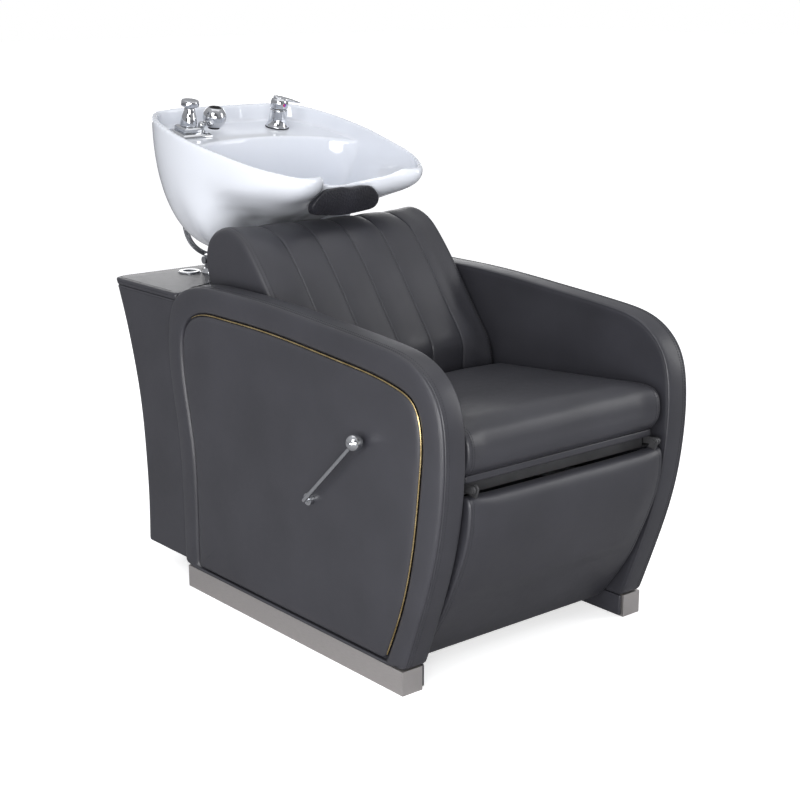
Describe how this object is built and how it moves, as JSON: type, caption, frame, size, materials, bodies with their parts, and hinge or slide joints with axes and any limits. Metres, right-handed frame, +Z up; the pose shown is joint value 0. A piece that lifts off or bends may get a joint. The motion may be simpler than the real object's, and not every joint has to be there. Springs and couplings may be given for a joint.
{
  "type": "shampoo backwash unit",
  "caption": "Upholstered reclined chair with a lever-raised leg rest and a tilting ceramic basin with mixer, vacuum breaker and spray holder over a rear plumbing cover.",
  "frame": {"origin": "on the floor, at the centre of the four floor bolt holes in the base rails", "axes": "+X across the width to the sitter's left, -Y the way the sitter faces, +Z up"},
  "size_m": [0.7085, 1.201, 1.0701],
  "materials": {
    "rail_steel": "satin",
    "frame_steel": "satin black powder coat",
    "plate_steel": "zinc plated",
    "plywood": "raw plywood",
    "upholstery": "soft matte synthetic leather",
    "gold_piping": "metallic piping",
    "chrome": "polished",
    "ceramic": "glossy white glaze",
    "black_rubber": "matte",
    "gel_pad": "dimpled soft gel",
    "brass": "machined",
    "index": "glossy",
    "hose_braid": "braided steel with black"
  },
  "bodies": {
    "frame": {"arm_bolts": "plate_steel", "arm_core_left": "plywood", "arm_core_right": "plywood", "arm_left": "upholstery", "arm_right": "upholstery", "arm_skirts": "upholstery", "back_board": "plywood", "back_struts": "frame_steel", "backrest_cushion": "upholstery", "base_rail_left": "rail_steel", "base_rail_right": "rail_steel", "bowl_posts": "chrome", "cover_brackets": "frame_steel", "crossmembers": "frame_steel", "hose_port_ring": "chrome", "legrest_hinge_ears": "frame_steel", "lever_escutcheon": "chrome", "piping_left": "gold_piping", "piping_right": "gold_piping", "post_collars": "chrome", "rear_access_panel": "upholstery", "rear_cover_left": "upholstery", "rear_cover_right": "upholstery", "rear_cover_top": "upholstery", "seat_board": "upholstery", "seat_cushion": "upholstery", "seat_frame": "frame_steel", "seat_frame_legs": "frame_steel", "shaft_bushes": "brass", "side_panel_left": "upholstery", "side_panel_right": "upholstery", "tilt_pins": "plate_steel"},
    "legrest": {"legrest_panel": "upholstery", "legrest_board": "plywood", "legrest_hinge_arms": "frame_steel"},
    "lever": {"lever_shaft": "plate_steel", "crank_arms": "plate_steel", "lever_rod": "chrome", "lever_ball": "chrome", "lever_collar": "chrome"},
    "push_link_pair": {"push_links": "plate_steel"},
    "basin": {"bowl": "ceramic", "neck_rest": "gel_pad", "waste_strainer": "chrome", "waste_outlet": "chrome", "bowl_carrier": "frame_steel", "mixer_gasket": "black_rubber", "mixer_body": "chrome", "mixer_fixing": "brass", "breaker_plate": "chrome", "breaker_body": "chrome", "breaker_cap": "chrome", "breaker_tail": "brass", "braided_hose": "hose_braid", "hose_ferrules": "chrome"},
    "mixer_swivel": {"mixer_stem": "brass"},
    "mixer_lever": {"mixer_handle": "chrome", "mixer_index": "index"},
    "spray_holder": {"holder_ball": "chrome", "holder_insert": "black_rubber"}
  },
  "joints": [
    {"name": "legrest_lift", "type": "hinge", "parent": "frame", "child": "legrest", "pos_m": [0, -0.48, 0.425], "axis": [-1, 0, 0], "range_deg": [0, 80]},
    {"name": "side_lever_turn", "type": "hinge", "parent": "frame", "child": "lever", "pos_m": [0, -0.097, 0.33], "axis": [-1, 0, 0], "range_deg": [0, 80]},
    {"name": "push_link_pivot", "type": "hinge", "parent": "lever", "child": "push_link_pair", "pos_m": [0, -0.057, 0.26072], "axis": [-1, 0, 0], "range_deg": [-80, 0]},
    {"name": "basin_tilt", "type": "hinge", "parent": "frame", "child": "basin", "pos_m": [0, 0.578, 0.7], "axis": [-1, 0, 0], "range_deg": [0, 8]},
    {"name": "mixer_temperature_turn", "type": "hinge", "parent": "basin", "child": "mixer_swivel", "pos_m": [0.115, 0.62605, 1.02781], "axis": [0, -0.1987, 0.9801], "range_deg": [-45, 45]},
    {"name": "mixer_flow_lift", "type": "hinge", "parent": "mixer_swivel", "child": "mixer_lever", "pos_m": [0.115, 0.62407, 1.03761], "axis": [0, -0.9801, -0.1987], "range_deg": [0, 10]},
    {"name": "spray_holder_swivel", "type": "hinge", "parent": "basin", "child": "spray_holder", "pos_m": [-0.11, 0.61779, 1.00675], "axis": [0.8767, -0.1471, 0.4581], "range_deg": [-40, 40]}
  ],
  "couplings": [
    {"joint": "side_lever_turn", "follows": "legrest_lift", "ratio": 1},
    {"joint": "push_link_pivot", "follows": "legrest_lift", "ratio": -1}
  ]
}
